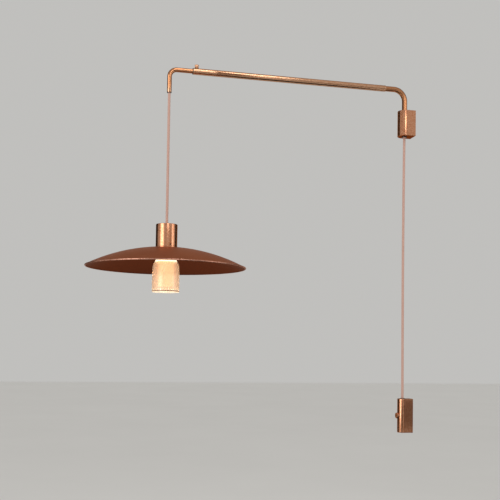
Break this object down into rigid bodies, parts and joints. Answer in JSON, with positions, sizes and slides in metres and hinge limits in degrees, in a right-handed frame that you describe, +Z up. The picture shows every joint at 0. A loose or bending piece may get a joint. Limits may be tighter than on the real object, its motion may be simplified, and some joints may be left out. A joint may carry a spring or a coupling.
{
  "type": "swing arm wall lamp",
  "caption": "Wall lamp with a swivelling telescopic tube arm, a saucer shade over a glass cylinder on a textile cord, and a dimmer box on the wall below.",
  "frame": {"origin": "centre of the wall plate's back face, on the wall behind the swivel's middle", "axes": "+Z up, +Y into the wall, the arm stands out along -Y with the tip pushed in"},
  "size_m": [0.35, 0.7515, 0.8163],
  "materials": {
    "copper_satin": "satin copper plate on aluminium",
    "copper_tube": "polished copper tube",
    "shade_copper": "matt brown copper, spun sheet",
    "zinc_steel": "zinc plate",
    "dark_steel": "black oxide",
    "plain_aluminium": "as turned",
    "black_plastic": "moulded nylon",
    "white_plastic": "moulded",
    "opal_plastic": "opal diffuser",
    "black_rubber": "silicone band",
    "cord_textile": "braided sleeve",
    "lit_glass": "warm ripple glass"
  },
  "bodies": {
    "root": {"bracket_housing": "copper_satin", "wall_plate": "zinc_steel", "bracket_set_screw": "dark_steel", "swivel_screw": "dark_steel", "swivel_bush_top": "black_plastic", "swivel_bush_bottom": "black_plastic", "thrust_washer": "black_plastic", "bracket_gland": "black_plastic", "wall_cord": "cord_textile", "switch_housing": "copper_satin", "switch_plate": "zinc_steel", "switch_set_screw": "dark_steel", "switch_gland": "black_plastic", "switch_cord": "cord_textile", "cord_clamp": "black_plastic", "dimmer_module": "black_plastic", "dimmer_nut": "zinc_steel", "terminal_block": "white_plastic"},
    "swing_arm": {"wall_tube": "copper_tube", "sleeve_tube": "copper_tube", "guide_bush": "black_plastic", "arm_cord": "cord_textile"},
    "lock_screw": {"lock_screw": "copper_tube"},
    "tip_arm": {"tip_tube": "copper_tube", "stop_ring": "black_plastic", "tip_bush": "black_plastic", "tip_cord": "cord_textile", "pendant_cord": "cord_textile"},
    "pendant": {"lamp_cap": "copper_satin", "cap_screws": "dark_steel", "cord_grip": "copper_satin", "grip_nut": "zinc_steel", "cap_cord": "cord_textile", "heat_sink": "plain_aluminium", "shade": "shade_copper", "ring_nut": "plain_aluminium", "glass_holder": "plain_aluminium", "glass_band": "black_rubber", "glass": "lit_glass", "opal_tube": "opal_plastic", "light_module": "white_plastic"},
    "dimmer_knob": {"dimmer_knob": "copper_satin", "dimmer_spindle": "zinc_steel"}
  },
  "joints": [
    {"name": "arm_swing", "type": "hinge", "parent": "root", "child": "swing_arm", "pos_m": [0, -0.0215, 0], "axis": [0, 0, 1], "range_deg": [-72, 72]},
    {"name": "arm_extend", "type": "slide", "parent": "swing_arm", "child": "tip_arm", "axis": [0, -1, 0], "range_m": [0, 0.2]},
    {"name": "pendant_lift", "type": "slide", "parent": "tip_arm", "child": "pendant", "axis": [0, 0, 1], "range_m": [0, 0.2], "deforming": ["pendant_cord"]},
    {"name": "lock_turn", "type": "hinge", "parent": "swing_arm", "child": "lock_screw", "pos_m": [0, -0.5165, 0.0805], "axis": [0, 0, 1], "range_deg": [0, 360]},
    {"name": "dimmer_turn", "type": "hinge", "parent": "root", "child": "dimmer_knob", "pos_m": [0, -0.033, -0.682], "axis": [0, -1, 0], "range_deg": [0, 280]}
  ],
  "couplings": [
    {"joint": "pendant_lift", "follows": "arm_extend", "ratio": 1}
  ]
}
